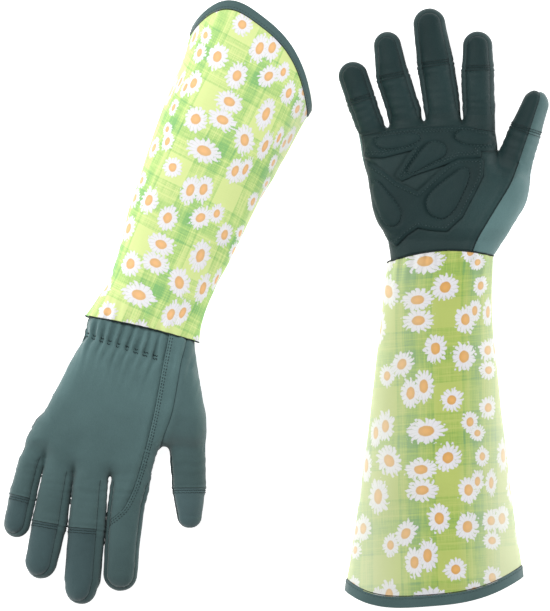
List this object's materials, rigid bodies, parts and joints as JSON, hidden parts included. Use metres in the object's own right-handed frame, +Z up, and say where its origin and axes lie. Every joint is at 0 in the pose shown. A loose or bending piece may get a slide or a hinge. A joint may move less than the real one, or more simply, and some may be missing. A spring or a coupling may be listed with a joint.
{
  "type": "gardening gloves",
  "caption": "Pair of long gauntlet gardening gloves: cloth hands with a padded patched palm, a gathered elastic wrist and a long floral printed sleeve with a bound hem.",
  "frame": {"origin": "on the surface the pair lies on, under the middle of the pair's bounding box", "axes": "+Z up from the surface; +Y along the gloves: glove 2's fingers point to +Y, glove 1's fingers point to -Y; +X from glove 1 to glove 2"},
  "size_m": [0.4352, 0.4739, 0.0814],
  "materials": {
    "teal_cloth": "grey-teal woven cloth with a soft nap",
    "dark_cloth": "dark teal woven cloth",
    "patch_cloth": "dark teal suede-like cloth, double stitched",
    "pad_foam": "dark teal cloth over foam",
    "elastic": "woven elastic band",
    "printed_canvas": "light green plaid canvas printed with white daisies",
    "green_binding": "folded grey-teal tape"
  },
  "bodies": {
    "glove_1_sleeve": {"glove_1_sleeve_back": "printed_canvas", "glove_1_sleeve_palm": "printed_canvas", "glove_1_hem_binding": "green_binding"},
    "glove_1_hand": {"glove_1_back_panel": "teal_cloth", "glove_1_palm_panel": "dark_cloth", "glove_1_side_gussets": "dark_cloth", "glove_1_wrist_gather": "teal_cloth", "glove_1_wrist_elastic": "elastic", "glove_1_knuckle_patch": "patch_cloth", "glove_1_heel_patch": "patch_cloth", "glove_1_palm_pads": "pad_foam"},
    "glove_1_pinky": {"glove_1_pinky_back": "teal_cloth", "glove_1_pinky_palm": "dark_cloth", "glove_1_pinky_tip_patches": "patch_cloth", "glove_1_pinky_fourchette": "teal_cloth"},
    "glove_1_ring": {"glove_1_ring_back": "teal_cloth", "glove_1_ring_palm": "dark_cloth", "glove_1_ring_tip_patches": "patch_cloth", "glove_1_ring_fourchette": "teal_cloth"},
    "glove_1_middle": {"glove_1_middle_back": "teal_cloth", "glove_1_middle_palm": "dark_cloth", "glove_1_middle_tip_patches": "patch_cloth", "glove_1_middle_fourchette": "teal_cloth"},
    "glove_1_index": {"glove_1_index_back": "teal_cloth", "glove_1_index_palm": "dark_cloth", "glove_1_index_tip_patches": "patch_cloth", "glove_1_index_fourchette": "teal_cloth"},
    "glove_1_thumb": {"glove_1_thumb_back": "teal_cloth", "glove_1_thumb_palm": "dark_cloth", "glove_1_thumb_tip_patches": "patch_cloth"},
    "glove_2_sleeve": {"glove_2_sleeve_back": "printed_canvas", "glove_2_sleeve_palm": "printed_canvas", "glove_2_hem_binding": "green_binding"},
    "glove_2_hand": {"glove_2_back_panel": "teal_cloth", "glove_2_palm_panel": "dark_cloth", "glove_2_side_gussets": "dark_cloth", "glove_2_wrist_gather": "teal_cloth", "glove_2_wrist_elastic": "elastic", "glove_2_knuckle_patch": "patch_cloth", "glove_2_heel_patch": "patch_cloth", "glove_2_palm_pads": "pad_foam"},
    "glove_2_pinky": {"glove_2_pinky_back": "teal_cloth", "glove_2_pinky_palm": "dark_cloth", "glove_2_pinky_tip_patches": "patch_cloth", "glove_2_pinky_fourchette": "teal_cloth"},
    "glove_2_ring": {"glove_2_ring_back": "teal_cloth", "glove_2_ring_palm": "dark_cloth", "glove_2_ring_tip_patches": "patch_cloth", "glove_2_ring_fourchette": "teal_cloth"},
    "glove_2_middle": {"glove_2_middle_back": "teal_cloth", "glove_2_middle_palm": "dark_cloth", "glove_2_middle_tip_patches": "patch_cloth", "glove_2_middle_fourchette": "teal_cloth"},
    "glove_2_index": {"glove_2_index_back": "teal_cloth", "glove_2_index_palm": "dark_cloth", "glove_2_index_tip_patches": "patch_cloth", "glove_2_index_fourchette": "teal_cloth"},
    "glove_2_thumb": {"glove_2_thumb_back": "teal_cloth", "glove_2_thumb_palm": "dark_cloth", "glove_2_thumb_tip_patches": "patch_cloth"}
  },
  "joints": [
    {"name": "glove_1_wrist", "type": "hinge", "parent": "glove_1_sleeve", "child": "glove_1_hand", "pos_m": [-0.101, -0.0175, 0.021], "axis": [-0.9511, 0.309, 0], "range_deg": [0, 50]},
    {"name": "glove_1_pinky_fold", "type": "hinge", "parent": "glove_1_hand", "child": "glove_1_pinky", "pos_m": [-0.1956, -0.1256, 0.009], "axis": [-0.9715, 0.2371, 0], "range_deg": [0, 80]},
    {"name": "glove_1_ring_fold", "type": "hinge", "parent": "glove_1_hand", "child": "glove_1_ring", "pos_m": [-0.1743, -0.1386, 0.01], "axis": [-0.9859, 0.1676, 0], "range_deg": [0, 80]},
    {"name": "glove_1_middle_fold", "type": "hinge", "parent": "glove_1_hand", "child": "glove_1_middle", "pos_m": [-0.1482, -0.1464, 0.0105], "axis": [-0.997, 0.077, 0], "range_deg": [0, 80]},
    {"name": "glove_1_index_fold", "type": "hinge", "parent": "glove_1_hand", "child": "glove_1_index", "pos_m": [-0.1184, -0.148, 0.01025], "axis": [-0.9982, 0.0593, 0], "range_deg": [0, 80]},
    {"name": "glove_1_thumb_fold", "type": "hinge", "parent": "glove_1_hand", "child": "glove_1_thumb", "pos_m": [-0.069, -0.1248, 0.0105], "axis": [-1, -0.0075, 0], "range_deg": [0, 80]},
    {"name": "glove_2_lift", "type": "slide", "parent": "glove_1_sleeve", "child": "glove_2_sleeve", "axis": [0, 0, 1], "range_m": [0, 0.3]},
    {"name": "glove_2_wrist", "type": "hinge", "parent": "glove_2_sleeve", "child": "glove_2_hand", "pos_m": [0.1325, 0.038, 0.017], "axis": [0.9998, -0.0175, 0], "range_deg": [0, 50]},
    {"name": "glove_2_pinky_fold", "type": "hinge", "parent": "glove_2_hand", "child": "glove_2_pinky", "pos_m": [0.0758, 0.1476, 0.009], "axis": [0.9555, 0.295, 0], "range_deg": [0, 80]},
    {"name": "glove_2_ring_fold", "type": "hinge", "parent": "glove_2_hand", "child": "glove_2_ring", "pos_m": [0.1028, 0.1558, 0.01], "axis": [0.9809, 0.1943, 0], "range_deg": [0, 80]},
    {"name": "glove_2_middle_fold", "type": "hinge", "parent": "glove_2_hand", "child": "glove_2_middle", "pos_m": [0.1348, 0.1614, 0.0105], "axis": [0.9906, 0.1366, 0], "range_deg": [0, 80]},
    {"name": "glove_2_index_fold", "type": "hinge", "parent": "glove_2_hand", "child": "glove_2_index", "pos_m": [0.1629, 0.1592, 0.01025], "axis": [0.9998, 0.0218, 0], "range_deg": [0, 80]},
    {"name": "glove_2_thumb_fold", "type": "hinge", "parent": "glove_2_hand", "child": "glove_2_thumb", "pos_m": [0.1944, 0.1216, 0.0105], "axis": [0.9471, -0.3208, 0], "range_deg": [0, 80]}
  ]
}
